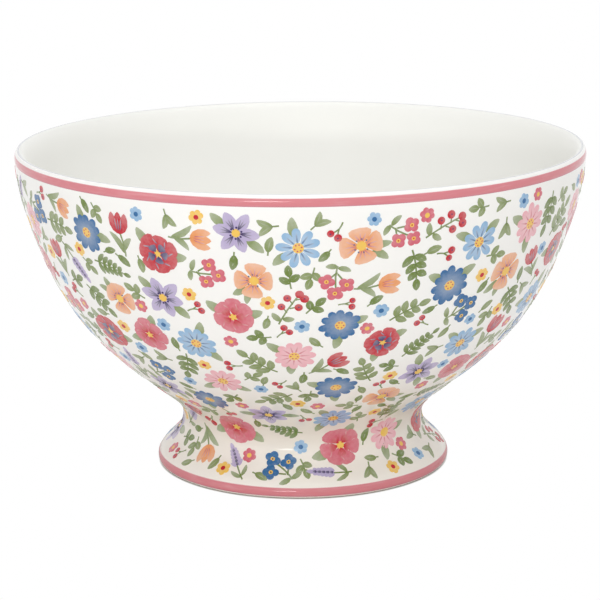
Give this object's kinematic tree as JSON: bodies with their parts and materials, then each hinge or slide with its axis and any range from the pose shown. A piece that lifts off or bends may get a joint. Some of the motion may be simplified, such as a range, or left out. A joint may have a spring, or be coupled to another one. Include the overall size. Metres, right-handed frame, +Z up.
{
  "type": "footed tea bowl",
  "caption": "Wide round ceramic bowl on a hollow flared foot, for tea, milky coffee or soup, white glazed with a pink line at lip and foot and a small flower print outside.",
  "frame": {"origin": "on the table under the bowl's axis, at the middle of the ring that it stands on", "axes": "+Z up along the bowl's axis; the picture looks along +Y"},
  "size_m": [0.1502, 0.1502, 0.086],
  "materials": {
    "clay": "matte",
    "slip": "matte",
    "white_glaze": "gloss",
    "pink_enamel": "gloss",
    "blue_print": "gloss",
    "sky_print": "gloss",
    "red_print": "gloss",
    "rose_print": "gloss",
    "blush_print": "gloss",
    "peach_print": "gloss",
    "yellow_print": "gloss",
    "violet_print": "gloss",
    "lilac_print": "gloss",
    "leaf_print": "gloss",
    "moss_print": "gloss"
  },
  "bodies": {
    "root": {"bowl_body": "clay", "pedestal_foot": "clay", "slip_joint": "slip", "inner_glaze": "white_glaze", "outer_glaze": "white_glaze", "underside_glaze": "white_glaze", "rim_band": "pink_enamel", "foot_band": "pink_enamel"}
  },
  "joints": []
}
